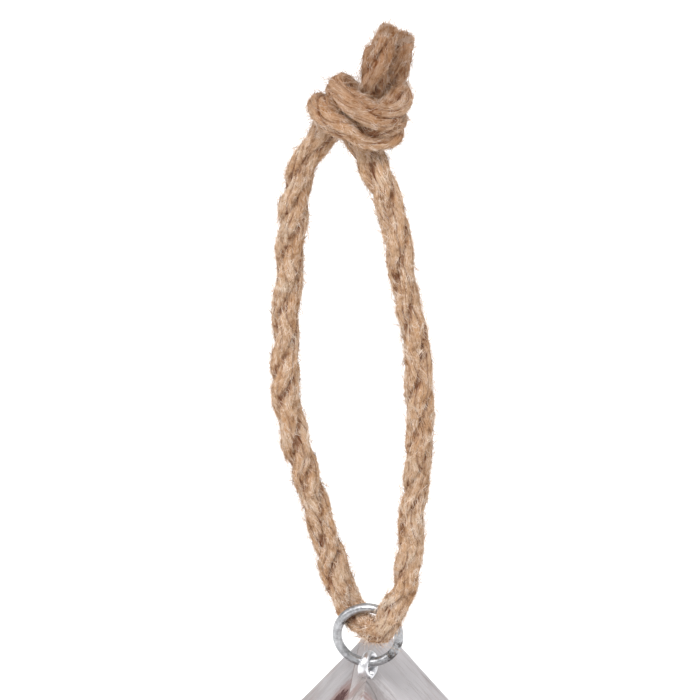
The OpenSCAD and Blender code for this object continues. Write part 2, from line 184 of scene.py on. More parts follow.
def bearing(name, description, degrees):
    return FloatProperty(
        name=name, description=description, default=math.radians(degrees), subtype="ANGLE"
    )


class StageSettings(bpy.types.PropertyGroup):
    azimuth: bearing("Azimuth", "How far right of the front the camera stands", 5.8)
    elevation: bearing("Elevation", "How far above level the camera stands", 27.3)
    distance: length("Distance", "From the camera to the point it looks at", 3.3333)
    aside: length("Aside", "How far right of the ring's middle the camera aims", -5.143 * MM)
    above: length("Above", "How far above the ring's middle the camera aims", 81.429 * MM)
    lens: amount("Lens", "Focal length in millimetres", 600)
    sky: amount("Sky", "Strength of the even light", 0.62)
    key: amount("Key", "Strength of the main light", 2.3)
    fill: amount("Fill", "Strength of the second light", 0.6)
    floor: colour("Floor", "the floor", (0.93, 0.93, 0.93))


class RopeSettings(bpy.types.PropertyGroup):
    diameter: length("Diameter", "Thickness of the laid rope", 8 * MM)
    lay: length("Lay", "Length of one turn of a strand", 46 * MM)
    step: length("Step", "Length of one row of faces", 0.85 * MM)
    whiskers: IntProperty(name="Whiskers", description="How many long loose fibres", default=6900)
    nap: IntProperty(name="Nap", description="How many short loose fibres", default=9500)
    hair: length("Hair", "Thickness of a loose fibre", 0.12 * MM)
    pale: colour("Pale", "the palest fibres", paint(239, 223, 207))
    middle: colour("Middle", "most fibres", paint(204, 169, 137))
    dark: colour("Dark", "the darkest fibres", paint(138, 97, 64))
    # Painted shade: the colour laid into the grooves between the strands, the yarns' creases and small
    # holes
    gap: colour("Gap", "the rope deep between the strands", paint(118, 74, 50))
    old: colour("Old", "the weathered fibres by the knot", paint(146, 96, 56))
    ochre: colour("Ochre", "the warm patches", paint(190, 138, 88))
    straw: colour("Straw", "the pale patches", paint(212, 196, 176))
    cut: colour("Cut", "the cut ends", paint(140, 90, 52))
    # Painted shadow where the rope passes behind the ring
    soot: colour("Soot", "the place rubbed by the ring", paint(62, 48, 42))


class WoodSettings(bpy.types.PropertyGroup):
    round_over: length("Round-over", "Width of the rounded edges", 0.45 * MM)
    unevenness: length("Unevenness", "How far the roof boards' faces wander", 0.22 * MM)
    pale: colour("Pale", "the thickest wash", paint(216, 211, 213))
    middle: colour("Middle", "most of the wash", paint(197, 193, 195))
    dark: colour("Dark", "the thin streaks", paint(168, 160, 160))
    bare: colour("Bare", "wood that shows through", paint(168, 150, 141))
    knot: colour("Knot", "the wood knots", paint(84, 46, 44))
    halo: colour("Halo", "the wood round the knots", paint(150, 108, 100))
    # Painted shadow of the screw eye, ring and rope on the roof by the ridge
    grime: colour("Grime", "the handled wood by the ridge", paint(150, 142, 141))
    # A dark arc line on the roof round the screw eye's foot
    dent: colour("Dent", "the line pressed into the roof", paint(96, 90, 90))


class MetalSettings(bpy.types.PropertyGroup):
    steel: colour("Steel", "the galvanised ring", (0.5, 0.505, 0.52))
    zinc: colour("Zinc", "the bright screw eye", (0.86, 0.86, 0.89))
    brass: colour("Brass", "the hinges and the turn button", (0.5, 0.37, 0.2))
    iron: colour("Iron", "the nails and screws", (0.26, 0.25, 0.245))


class Signal:
    """An output of a node, the first one unless out() says so, which can be used in sums."""

    def __init__(self, finish, socket):
        self.finish = finish
        self.socket = socket

    def out(self, name):
        """Another output of the same node."""
        return Signal(self.finish, self.socket.node.outputs[name])

    def sum(self, operation, *values):
        return self.finish.node("Math", {"operation": operation}, dict(enumerate(values)))

    def __add__(self, other):
        return self.sum("ADD", self, other)

    __radd__ = __add__

    def __sub__(self, other):
        return self.sum("SUBTRACT", self, other)

    def __rsub__(self, other):
        return self.sum("SUBTRACT", other, self)

    def __mul__(self, other):
        return self.sum("MULTIPLY", self, other)

    __rmul__ = __mul__

    def __truediv__(self, other):
        return self.sum("DIVIDE", self, other)

    def smaller(self, other):
        return self.sum("MINIMUM", self, other)

    def sine(self):
        return self.sum("SINE", self)

    def cosine(self):
        return self.sum("COSINE", self)

    def size(self):
        return self.sum("ABSOLUTE", self)

    def between(self, low, high):
        """0 up to low, 1 from high on, with a soft passage."""
        return self.finish.node(
            "MapRange", {"interpolation_type": "SMOOTHSTEP"},
            {"Value": self, "From Min": low, "From Max": high},
        )


class Finish:
    """The nodes of a material, or of whatever owner is given."""

    def __init__(self, name, owner=None):
        self.material = owner or bpy.data.materials.new(name)
        self.material.use_nodes = True
        self.tree = self.material.node_tree
        self.tree.nodes.clear()
        self.place = self.node("TexCoord").out("Generated" if owner else "Object")

    def node(self, kind, settings=None, values=None):
        """Adds a shader node: its settings first, then the values or links of its inputs."""
        node = self.tree.nodes.new("ShaderNode" + kind)
        for key, value in (settings or {}).items():
            if key == "stops":
                self.stops(node.color_ramp, value)
            else:
                setattr(node, key, value)
        for key, value in (values or {}).items():
            if isinstance(value, Signal):
                self.tree.links.new(value.socket, node.inputs[key])
            else:
                node.inputs[key].default_value = value
        return Signal(self, node.outputs[0] if node.outputs else None)

    @staticmethod
    def stops(ramp, wanted):
        while len(ramp.elements) < len(wanted):
            ramp.elements.new(1)
        for element, (place, shade) in zip(ramp.elements, wanted):
            element.position = place
            element.color = (*shade, 1)

    def cloud(self, place, scale, detail=3, roughness=0.5, warp=0):
        """Noise, about 0.5 on average."""
        return self.node(
            "TexNoise", {},
            {"Vector": place, "Scale": scale, "Detail": detail, "Roughness": roughness,
             "Distortion": warp},
        )

    def stretched(self, place, scale, turn=(0, 0, 0), shift=(0, 0, 0)):
        """The place again, turned, then scaled along each axis."""
        kind = {"vector_type": "POINT"}
        turned = self.node("Mapping", kind, {"Vector": place, "Location": shift, "Rotation": turn})
        return self.node("Mapping", kind, {"Vector": turned, "Scale": scale})

    def ramp(self, signal, stops):
        return self.node("ValToRGB", {"stops": stops}, {0: signal})

    def mix(self, share, first, second, how="MIX"):
        first, second = (c if isinstance(c, Signal) else (*c, 1) for c in (first, second))
        kind = {"data_type": "RGBA", "blend_type": how}
        return self.node("Mix", kind, {0: share, 6: first, 7: second}).out(2)

    def coats(self, shade, *coats):
        """The shade under coats of other colours, each with its share."""
        for share, over in coats:
            shade = self.mix(share, shade, over)
        return shade

    def attribute(self, name):
        return self.node("Attribute", {"attribute_name": name}).out("Fac")

    def axes(self, place):
        return self.node("SeparateXYZ", {}, {0: place})

    def vector(self, operation, first, second=(0, 0, 0), out=0):
        return self.node("VectorMath", {"operation": operation}, {0: first, 1: second}).out(out)

    def far_from(self, spot):
        return self.vector("DISTANCE", self.place, spot, "Value")

    def facing(self, way):
        return self.vector("DOT_PRODUCT", self.place, way, "Value")

    def bump(self, height, strength, depth):
        return self.node("Bump", {}, {"Height": height, "Strength": strength, "Distance": depth})

    def close(self, shade, rough, bump=None, metal=None, **fixed):
        """Puts the shader on the end. fixed holds what is the same all over."""
        values = {"Base Color": shade, "Roughness": rough}
        if bump:
            values["Normal"] = bump
        if metal is not None:
            values["Metallic"] = metal
        values.update({key.replace("_", " "): value for key, value in fixed.items()})
        shader = self.node("BsdfPrincipled", {}, values)
        self.node("OutputMaterial", {}, {"Surface": shader})
        return self.material


def piece(name, bm, material, body, replaces=(), sharp=40):
    """Turns a bmesh into a finished piece on a body; edges over sharp degrees stay sharp."""
    mesh = bpy.data.meshes.new(name)
    bm.to_mesh(mesh)
    bm.free()
    for face in mesh.polygons:
        face.use_smooth = True
    mesh.set_sharp_from_angle(angle=math.radians(sharp))
    return mount(bpy.data.objects.new(name, mesh), material, body, replaces)


def mount(thing, material, body, replaces=()):
    """Puts a finished object in the scene, with its material, on a body."""
    bpy.context.scene.collection.objects.link(thing)
    thing.data.materials.append(material)
    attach(thing, body)
    if replaces:
        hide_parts(*replaces)
    return thing


def wire_mesh(name, lines, radius, tapers, roundness=0):
    """A mesh of round wires that follow lines; a taper is a wire's thickness at each point."""
    curve = bpy.data.curves.new(name, "CURVE")
    curve.dimensions = "3D"
    curve.bevel_depth = radius
    curve.bevel_resolution = roundness
    curve.use_fill_caps = True
    for line, taper in zip(lines, tapers):
        spline = curve.splines.new("POLY")
        spline.points.add(len(line) - 1)
        flat = np.ones((len(line), 4), np.float32)
        flat[:, :3] = line
        spline.points.foreach_set("co", flat.ravel())
        spline.points.foreach_set("radius", np.asarray(taper, np.float32))
    thing = bpy.data.objects.new(name + "_curve", curve)
    mesh = bpy.data.meshes.new_from_object(thing)
    mesh.name = name
    bpy.data.objects.remove(thing)
    bpy.data.curves.remove(curve)
    return mesh


# ---------------------------------------------------------------- rope


def through(points, step, fineness=24):
    """An even line through given points, by a centripetal curve."""
    p = np.array(points, float)
    p = np.vstack([2 * p[0] - p[1], p, 2 * p[-1] - p[-2]])
    line = []
    for i in range(1, len(p) - 2):
        knots = [0.0]
        for a, b in ((i - 1, i), (i, i + 1), (i + 1, i + 2)):
            knots.append(knots[-1] + max(np.linalg.norm(p[b] - p[a]), 1e-9) ** 0.5)
        t = np.linspace(knots[1], knots[2], fineness, endpoint=False)[:, None]
        level = [p[i - 1 + k] for k in range(4)]
        for depth in (1, 2, 3):
            level = [
                ((knots[k + depth] - t) * level[k] + (t - knots[k]) * level[k + 1])
                / (knots[k + depth] - knots[k])
                for k in range(len(level) - 1)
            ]
        line.append(level[0])
    line.append(p[-2][None])
    return evened(np.vstack(line), step)


def distances(line):
    """How far along the line each of its points is."""
    return np.concatenate([[0], np.cumsum(np.linalg.norm(np.diff(line, axis=0), axis=1))])


def evened(line, step):
    """The same line with points an even step apart."""
    along = distances(line)
    count = max(2, int(round(along[-1] / step)) + 1)
    at = np.linspace(0, along[-1], count)
    return np.stack([np.interp(at, along, line[:, k]) for k in range(3)], axis=1)


def settle(line, apart, step, rounds=90, hold=0.05):
    """Pushes the turns of the knot apart where they lie in each other, and rounds its bends.

    Only the knot moves: the line is held below it, over a passage 8 mm high.
    """
    passage = 8 * MM
    longest_push = 0.35 * MM
    home = line.copy()
    p = line.copy()
    order = np.arange(len(p))
    free = np.clip(p[:, 2] / passage + 1, 0, 1)
    far = np.abs(order[:, None] - order[None]) * step > 1.7 * apart
    for _ in range(rounds):
        gap = p[:, None] - p[None]
        size = np.linalg.norm(gap, axis=2) + 1e-9
        short = np.where(far, np.clip(apart - size, 0, None), 0)
        push = (gap / size[..., None] * short[..., None]).sum(1)
        length = np.linalg.norm(push, axis=1, keepdims=True) + 1e-12
        push *= np.minimum(1, longest_push / length)
        move = 0.6 * push + hold * (home - p)
        move[1:-1] += 0.3 * (p[:-2] + p[2:] - 2 * p[1:-1])
        p += free[:, None] * move
    return p


def frames(line):
    """Directions along the line, and two across it that don't twist round it."""
    ahead = np.gradient(line, axis=0)
    ahead /= np.linalg.norm(ahead, axis=1, keepdims=True)
    across = np.zeros_like(line)
    start = np.cross(ahead[0], (0.0, 1.0, 0.0))
    across[0] = start / np.linalg.norm(start)
    for i in range(1, len(line)):
        turned = across[i - 1] - ahead[i] * across[i - 1].dot(ahead[i])
        across[i] = turned / np.linalg.norm(turned)
    return ahead, across, np.cross(ahead, across)


def waves(at, seed, wave):
    """A slow, smooth, even wander from -1 to 1 along the line."""
    return np.array([noise.noise(Vector((a / wave, seed * 7.3, 0.5))) for a in at]) * 1.6


class Rope:
    """The laid rope: its line, and where any point of a strand's skin is."""

    def __init__(self, settings):
        self.step = settings.step
        self.size = settings.diameter / 2
        coarse = 1.5 * MM
        points = np.array(KNOT_A + LOOP + KNOT_B) * MM
        line = settle(through(points, coarse), 0.9 * settings.diameter, coarse)
        self.line = evened(through(line[::2], self.step / 3), self.step)
        self.along = distances(self.line)
        self.length = self.along[-1]
        self.ahead, self.across, self.up = frames(self.line)
        self.turn = 2 * math.pi * self.along / settings.lay
        self.turn = self.turn + LAY_WANDER * waves(self.along, 3, LAY_WAVE)
        self.wander = [waves(self.along, 11 + k, STRAND_WAVE) for k in range(3)]
        self.swell = [waves(self.along, 31 + k, SWELL_WAVE) for k in range(3)]
        self.phase = [YARN_WANDER * waves(self.along, 51 + k, YARN_WAVE) for k in range(3)]
        self.girth = 1 + GIRTH_WANDER * waves(self.along, 71, GIRTH_WAVE)
        for middle, share, reach in GIRTHS:
            far = np.linalg.norm(self.line - np.array(middle) * MM, axis=1)
            self.girth = self.girth + share * np.exp(-((far / reach) ** 2))

    def trimmed(self, spots, at):
        """The same points, with the first cut end sloping down on its left side."""
        near = np.clip(1 - at / SLOPE_REACH, 0, 1) ** 1.5
        left = np.clip((self.line[0, 0] - spots[:, 0]) / self.size + 0.1, 0, 1.3)
        down = near * left ** 2 * SLOPE_DROP
        return spots - down[:, None] * np.array(SLOPE_WAY)

    def skin(self, strand, at, angle, lift=0.0):
        """Points on a strand: at is the place along the rope, angle goes round the strand."""
        def along(values):
            if values.ndim == 1:
                return np.interp(at, self.along, values)
            return np.stack([np.interp(at, self.along, values[:, k]) for k in range(3)], axis=1)
        turn = along(self.turn) + strand * 2 * math.pi / 3 + STRAND_WANDER * along(self.wander[strand])
        tip = np.minimum(at, self.length - at)
        swell = (1 + SWELL * along(self.swell[strand])) * along(self.girth)
        swell = swell * (1 - TAPER * np.clip(1 - tip / TAPER_REACH, 0, 1) ** 2)
        across, up = along(self.across), along(self.up)
        out = np.cos(turn)[:, None] * across + np.sin(turn)[:, None] * up
        side = -np.sin(turn)[:, None] * across + np.cos(turn)[:, None] * up
        yarn = 2 * (angle + at * FIBRE_TURN) + along(self.phase[strand])
        ridge = YARN_DEPTH * (np.abs(np.cos(yarn)) ** 0.6 - 0.72)
        ridge = ridge + FIBRE_DEPTH * np.cos(4.5 * yarn + strand)
        size = self.size * swell * (1 + ridge) + lift
        wide = (STRAND_DEEP * size * np.cos(angle))[:, None] * out
        wide = wide + (STRAND_WIDE * size * np.sin(angle))[:, None] * side
        middle = along(self.line) + (STRAND_OUT * self.size * swell)[:, None] * out
        normal = np.cos(angle)[:, None] * out + np.sin(angle)[:, None] * side
        return self.trimmed(middle + wide, at), normal, along(self.ahead), side


def jute(settings, name="jute", loose=False):
    """Laid jute: pale and brown fibres that run along the strands, with painted shade between them."""
    f = Finish(name)
    high = f.axes(f.place).out(2)
    aged = high.between(-10 * MM, 26 * MM)
    # Painted shadow where the rope passes behind the ring, on the strands and on the loose fibres
    behind_ring_mask = 1 - f.far_from(BEHIND_RING_SPOT).between(0.8 * MM, 3.4 * MM)
    # Darker at the bottom of the loop, where it lies in the ring, in the groove shade's colour
    low = 1 - high.between(-157 * MM, -148 * MM)
    if loose:
        shade = f.ramp(
            f.cloud(f.place, 420, 2),
            [(0.34, settings.dark), (0.47, settings.middle), (0.62, settings.pale)],
        )
        shade = f.coats(shade, (aged * 0.42, settings.old), (behind_ring_mask * 0.6, settings.gap))
        return f.close(shade, 0.85, Specular_IOR_Level=0.15)
    uv = f.axes(f.node("UVMap"))
    along, round_it = uv.out(0), uv.out(1)
    strand = f.attribute("strand")
    # Noise drawn out along the fibres, which turn round the strand
    fibre = round_it * (2 * math.pi) + along * (FIBRE_TURN * MM)
    yarn = fibre * 2 + f.attribute("phase")
    ring = f.node(
        "CombineXYZ", {}, {0: along * 0.06, 1: fibre.cosine() * 1.9, 2: fibre.sine() * 1.9 + strand * 9}
    )
    fine = f.cloud(ring, 7.5, 3, 0.7)
    broad = f.cloud(ring, 2.1, 2, 0.5, 0.6)
    patch = f.cloud(f.place, 150, 3, 0.6)
    fleck = f.cloud(f.place, 1100, 2, 0.7)
    shade = f.ramp(
        fine * 0.46 + broad * 0.28 + fleck * 0.26,
        [(0.38, settings.dark), (0.47, settings.middle), (0.52, settings.middle), (0.61, settings.pale)],
    )
    crease = (1 - yarn.cosine().size()).between(0.55, 1) * broad.between(0.35, 0.6)
    broken = f.cloud(f.place, 330, 3, 0.6).between(0.46, 0.6)
    deep = f.attribute("groove") * (0.22 + 0.78 * broken)
    holes = f.cloud(ring, 4.1, 2, 0.5, 0.8).between(0.58, 0.68) * 0.55
    # Painted shade deep in the grooves between the strands, in the yarns' creases and in small holes
    shade = f.coats(
        shade,
        (patch.between(0.5, 0.64) * 0.42, settings.ochre),
        (patch.between(0.48, 0.34) * 0.4, settings.straw),
        ((deep * 0.8 + crease * 0.7 + holes * 1.3).smaller(1), settings.gap),
        (f.attribute("cut") * 0.7, settings.cut),
        (low * 0.2, settings.gap),
        (behind_ring_mask * 0.8, settings.soot),
    )
    height = fine + broad * 0.6 + fleck * 0.5 - crease * 0.6
    return f.close(shade, 0.88, f.bump(height, 1, 0.4 * MM), Specular_IOR_Level=0.15)


def strand_mesh(bm, rope, strand, sides=36):
    """One strand: a grid rolled into a tube along its helix, with its cut ends closed."""
    rows = len(rope.line)
    aged_from = -6 * MM
    aged_over = 40 * MM
    tip_reach = 4 * MM
    groove, mark, cut, phase = (bm.verts.layers.float[name] for name in STRAND_MARKS)
    made = bmesh.ops.create_grid(bm, x_segments=rows - 1, y_segments=sides, size=1, calc_uvs=True)
    verts = made["verts"]
    flat = np.array([v.co for v in verts])
    at = (flat[:, 0] + 1) / 2 * rope.length
    angle = (flat[:, 1] + 1) * math.pi
    spots = rope.skin(strand, at, angle)[0]
    # The side that faces the other strands, where the material paints shade
    hidden = np.clip((0.5 - np.cos(angle)) / 0.4, 0, 1)
    shift = np.interp(at, rope.along, rope.phase[strand])
    for v, spot, a, h, own in zip(verts, spots, at, hidden, shift):
        v.co = spot
        v[groove] = h * h * (3 - 2 * h)
        v[mark] = strand
        v[phase] = own
        tip = min(a, rope.length - a)
        aged = min(0.75, max(0, (v.co.z - aged_from) / aged_over))
        v[cut] = max(aged, 1 - tip / tip_reach)
    seam = [v for v in verts if v.is_boundary]
    bmesh.ops.remove_doubles(bm, verts=seam, dist=0.0001 * MM)
    open_edges = [e for e in bm.edges if e.is_boundary]
    caps = bmesh.ops.holes_fill(bm, edges=open_edges, sides=0)["faces"]
    for depth in (0.1 * MM, 0.3 * MM):
        bmesh.ops.inset_region(bm, faces=caps, thickness=0.5 * MM, depth=depth, use_even_offset=True)


def rope_bmesh(rope):
    """The three strands, with texture coordinates in millimetres along the rope."""
    bm = bmesh.new()
    bm.loops.layers.uv.new("UVMap")
    for name in STRAND_MARKS:
        bm.verts.layers.float.new(name)
    for strand in range(3):
        strand_mesh(bm, rope, strand)
    uv = bm.loops.layers.uv.active
    for face in bm.faces:
        for loop in face.loops:
            loop[uv].uv.x *= rope.length / MM
    bmesh.ops.recalc_face_normals(bm, faces=bm.faces)
    return bm


def whiskers(rope, count, longest, points, rise, seed):
    """Loose fibres that leave the strands' skin and curl along the rope.

    rise says how steeply they stand off it, points how many points a fibre has.
    """
    margin = 0.3 * MM
    shortest = 0.8 * MM
    sunk = -0.12 * MM
    draw = np.random.default_rng(seed)
    strand = draw.integers(0, 3, count)
    at = draw.uniform(margin, rope.length - margin, count)
    angle = draw.normal(0, 0.75, count)
    reach = longest * draw.beta(1.6, 4, count) + shortest
    way = draw.choice([-1, 1], count)
    lines = []
    tapers = []
    for k in range(3):
        own = strand == k
        spot, out, ahead, side = rope.skin(k, at[own], angle[own], sunk)
        n = own.sum()
        lean = draw.normal(0, 0.5, (n, 1))
        heading = way[own][:, None] * ahead + lean * side + rise * draw.beta(1.2, 3, (n, 1)) * out
        curl = draw.normal(0, 0.55, (n, 3)) - 0.35 * out * draw.random((n, 1))
        t = np.linspace(0, 1, points)
        gone = reach[own][:, None, None] * t[None, :, None]
        bent = 0.5 * gone * t[None, :, None] * curl[:, None]
        lines.extend(spot[:, None] + gone * heading[:, None] + bent)
        thick = draw.uniform(0.6, 1.25, n)
        tapers.extend(np.outer(thick, np.linspace(1, 0.35, points)))
    return lines, tapers


def brush(rope, count, seed):
    """The short fibres that stand out of the two cut ends."""
    widest = 0.84 * rope.size
    rooted = 1.2 * MM
    draw = np.random.default_rng(seed)
    lines = []
    tapers = []
    for end, sign in ((0, -1), (-1, 1)):
        middle, ahead = rope.line[end], rope.ahead[end] * sign
        a, b = rope.across[end], rope.up[end]
        for _ in range(count):
            r = widest * math.sqrt(draw.random())
            w = draw.uniform(0, 2 * math.pi)
            out = math.cos(w) * a + math.sin(w) * b
            start = middle + out * r - ahead * rooted
            reach = draw.uniform(1.0, 2.0) * MM
            splay = out * r / rope.size * 0.1 + draw.normal(0, 0.3, 3)
            tip = start + ahead * reach + splay * reach * 0.6
            line = np.array([start, (start + tip) / 2 + draw.normal(0, 0.06, 3) * MM, tip])
            if end == 0:
                line = rope.trimmed(line, np.zeros(3))
            lines.append(line)
            tapers.append([1.3, 1.2, 0.8])
    return lines, tapers


# ---------------------------------------------------------------- wood and metal


def washed(name, s, turn=0.0, seed=0.0, knots=(), stains_and_shade=(), dark_arcs=(), tone=1.0):
    """Thin grey-white wash over knotty softwood; turn lays the grain, about the Y axis.

    knots and the dark arc lines are (place, radius); stains, some of them painted shadow, are (place,
    radius, colour, share).
    """
    f = Finish(name)
    shift = Vector((seed, seed * 1.7, seed * 0.6))
    base = f.stretched(f.place, (1, 1, 1), (0, turn, 0), shift)
    bend = f.cloud(base, 35, 2) - 0.5
    # The grain wanders a little sideways
    sideways = f.node("CombineXYZ", {}, {0: 0, 1: bend * 6 * MM, 2: bend * 4 * MM})
    sway = f.vector("ADD", base, sideways)
    # Streaks along the grain, fine and broad, pores, and the strokes of the brush
    grain = f.stretched(sway, (0.05, 1, 1))
    fine = f.cloud(grain, 950, 4, 0.65)
    broad = f.cloud(grain, 190, 3, 0.55)
    pores = f.cloud(f.stretched(sway, (0.03, 1, 1)), 2600, 2).between(0.6, 0.7)
    brush = f.cloud(f.stretched(sway, (0.16, 1, 1)), 420, 3, 0.6)
    blotch = f.cloud(base, 75, 3, 0.55)
    shade = f.ramp(
        fine * 0.4 + broad * 0.35 + brush * 0.25,
        [(0.36, s.dark), (0.46, s.middle), (0.54, s.middle), (0.63, s.pale)],
    )
    thin = (broad * 0.5 + brush * 0.5).between(0.55, 0.66) * blotch.between(0.42, 0.6)
    shade = f.coats(
        shade, (blotch.between(0.52, 0.72) * 0.45, s.dark), (thin * 0.55, s.bare), (pores * 0.4, s.bare)
    )
    height = fine * 0.6 + brush * 0.7 - pores * 0.8
    ragged = f.cloud(f.place, 600, 3, 0.6) - 0.5
    # Stains, and painted shadow of the eye, ring and rope by the roof's ridge
    for centre, size, stain_and_shadow_colour, share in stains_and_shade:
        far = f.far_from(centre) / size + ragged * 1.2 + (brush - 0.5) * 1.6
        shade = f.mix((1 - far.between(0.2, 1.3)) * share, shade, stain_and_shadow_colour)
    for centre, size in knots:
        far = f.far_from(centre) / size + ragged * 1.1
        # The grain flows round the knot
        here = Matrix.Rotation(turn, 3, "Y") @ Vector(centre) + shift
        away = f.vector("MULTIPLY", f.vector("SUBTRACT", base, here), (0.4, 1, 1))
        flow = f.vector("LENGTH", away, out="Value") / size
        flow = flow + (broad - 0.5) * 1.3 + ragged * 0.3
        swirl = (flow * 9).sine().between(0.2, 0.95) * (1 - flow.between(1.1, 3))
        rings = ((far * 13).sine() * 0.5 + 0.5) * 0.35
        core = 1 - far.between(0.85, 1.1)
        shade = f.coats(
            shade, (swirl * 0.45, s.bare), ((1 - far.between(0.8, 2.6)) * 0.75, s.halo),
            (core * (1 - rings * 0.6), s.knot),
        )
        height = height - swirl * 0.3 - core * 0.5 + rings * core * 0.6
    # Dark arc lines, also lowered a little in the bump
    for centre, size in dark_arcs:
        line = 1 - (f.far_from(centre) / size + ragged * 0.12 - 1).size().between(0.02, 0.13)
        line = line * broad.between(0.38, 0.55)
        shade = f.mix(line * 0.45, shade, s.dent)
        height = height - line
    end = f.attribute("end_grain") * (0.06 + f.cloud(f.place, 1500, 3, 0.7) * 0.34)
    worn = f.attribute("worn") * f.cloud(f.place, 260, 3, 0.7).between(0.34, 0.6) * 0.75
    shade = f.coats(shade, (end, s.bare), (worn, s.bare))
    # tone darkens the whole wash; on the roof it is painted shade
    shade = f.mix(1.0, shade, (tone, tone, tone), "MULTIPLY")
    return f.close(shade, 0.72 + fine * 0.2, f.bump(height, 0.75, 0.16 * MM), Specular_IOR_Level=0.3)


def metal(name, shade, rough, grain=700, dirt=0.25, patch=140, stains_and_shade=()):
    """Plain metal with a mottled coat and darker specks; the dark patches, given as (place, radius), are
    painted shade.
    """
    f = Finish(name)
    mottle = f.cloud(f.place, patch * 4, 4, 0.7)
    spots = f.cloud(f.place, grain * 2, 2, 0.6)
    broad = f.cloud(f.place, patch, 3, 0.6)
    dull = tuple(c * 0.42 for c in shade)
    bright = tuple(min(1, c * 1.18) for c in shade)
    tone = f.coats(
        dull, (mottle.between(0.38, 0.62), shade), (1 - dirt, shade),
        (broad.between(0.5, 0.7) * 0.5, bright), (spots.between(0.62, 0.7) * 0.35, dull),
    )
    # Dark patches of painted shade
    for centre, size in stains_and_shade:
        near = 1 - (f.far_from(centre) / size + (mottle - 0.5) * 1.4).between(0.5, 1)
        tone = f.mix(near * 0.85, tone, paint(66, 58, 54))
    bump = f.bump(mottle * 0.7 + spots * 0.5, 0.1 + 0.65 * dirt, 0.06 * MM)
    return f.close(tone, rough - 0.12 + mottle * 0.28, bump, 0.85 + broad * 0.15)


def glass():
    """Thin float glass, a little smeared."""
    f = Finish("clear_pane")
    smear = f.cloud(f.place, 60, 3, 0.6)
    shade = f.mix(smear * 0.3, (0.93, 0.97, 0.96), (0.86, 0.93, 0.91))
    wave = f.bump(f.cloud(f.place, 25, 2), 0.06, 0.5 * MM)
    return f.close(shade, 0.02 + smear * 0.08, wave, Alpha=0.16, IOR=1.9)


def waxed():
    """Turned wood with a little wax, its grain along the knob."""
    f = Finish("waxed_wood")
    grain = f.stretched(f.place, (0.9, 0.08, 0.9))
    fine = f.cloud(grain, 1500, 4, 0.65)
    rings = f.cloud(f.stretched(f.place, (1, 0.35, 1)), 330, 2, 0.5, 0.3)
    shade = f.ramp(
        fine * 0.5 + rings * 0.5,
        [(0.34, paint(128, 88, 58)), (0.5, paint(160, 120, 84)), (0.66, paint(186, 148, 110))],
    )
    shade = f.mix(fine.between(0.6, 0.72) * 0.3, shade, paint(96, 64, 44))
    return f.close(shade, 0.42 + fine * 0.2, f.bump(fine, 0.15, 0.05 * MM), Coat_Weight=0.15)


def node_bmesh(node):
    """A copy of a CAD node's solid as joined faces."""
    bm = bmesh.new()
    bm.from_mesh(frame["nodes"][node].data)
    bmesh.ops.remove_doubles(bm, verts=bm.verts, dist=WELD)
    bmesh.ops.dissolve_limit(
        bm, angle_limit=math.radians(0.6), use_dissolve_boundaries=False,
        verts=bm.verts, edges=bm.edges, delimit=set(),
    )
    return bm


def soften(bm, width, grain=None):
    """Rounds the long sharp edges, and marks what is worn and what is end grain."""
    least_angle = math.radians(28)
    least_length = 3.2 * width
    worn = bm.faces.layers.float.new("worn")
    end = bm.faces.layers.float.new("end_grain")
    sharp = [
        e for e in bm.edges
        if len(e.link_faces) == 2 and e.calc_face_angle(0) > least_angle
        and e.calc_length() > least_length
    ]
    made = bmesh.ops.bevel(
        bm, geom=sharp, offset=width, offset_type="OFFSET", segments=2, profile=0.5,
        affect="EDGES", clamp_overlap=True, material=-1,
    )
    for face in made["faces"]:
        face[worn] = 1
    if grain:
        way = Vector(grain)
        bm.normal_update()
        for face in bm.faces:
            if not face[worn] and abs(face.normal.dot(way)) > 0.8:
                face[end] = 1
    return bm


def sliced(bm, way, places):
    """Cuts every face along parallel planes."""
    for place in places:
        bmesh.ops.bisect_plane(
            bm, geom=bm.verts[:] + bm.edges[:] + bm.faces[:], dist=WELD,
            plane_co=place, plane_no=way,
        )


def dressed(node, name, material, width, grain=None, sharp=40):
    """A piece with a CAD node's shape and rounded edges, on the node's own body."""
    bm = soften(node_bmesh(node), width, grain)
    thing = piece(name, bm, material, frame["nodes"][node]["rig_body"], (node,), sharp)
    evenly_lit(thing)


def evenly_lit(thing):
    """Lets the large flat faces set the shading, so that they look flat up to their edges."""
    even = thing.modifiers.new("evenly_lit", "WEIGHTED_NORMAL")
    even.keep_sharp = True


def keep(node, material):
    """Leaves a CAD node as it is and gives it its finish."""
    thing = frame["nodes"][node]
    for place in thing.material_slots:
        place.material = material


def spun(profile, centre, axis, steps):
    """A round shape from points (distance from the axis, height along it)."""
    bm = bmesh.new()
    verts = [bm.verts.new((r, 0, z)) for r, z in profile]
    for a, b in zip(verts, verts[1:]):
        bm.edges.new((a, b))
    bmesh.ops.spin(
        bm, geom=bm.verts[:] + bm.edges[:], cent=(0, 0, 0), axis=(0, 0, 1), dvec=(0, 0, 0),
        angle=2 * math.pi, steps=steps, use_merge=True, use_duplicate=False,
    )
    bmesh.ops.remove_doubles(bm, verts=bm.verts, dist=2 * WELD)
    bmesh.ops.recalc_face_normals(bm, faces=bm.faces)
    turn = Vector(axis).to_track_quat("Z", "Y").to_matrix().to_4x4()
    bmesh.ops.transform(bm, matrix=Matrix.Translation(centre) @ turn, verts=bm.verts)
    return bm


def arc(middle, radius, first, last, count):
    """Points of a circle's arc, angles in degrees."""
    return [
        (middle[0] + radius * math.cos(math.radians(a)), middle[1] + radius * math.sin(math.radians(a)))
        for a in np.linspace(first, last, count)
    ]


def seen_from(turn, height):
    """The direction of something so far right of the front, and so far above level."""
    level = math.cos(height)
    return Vector((math.sin(turn) * level, -math.cos(turn) * level, math.sin(height)))


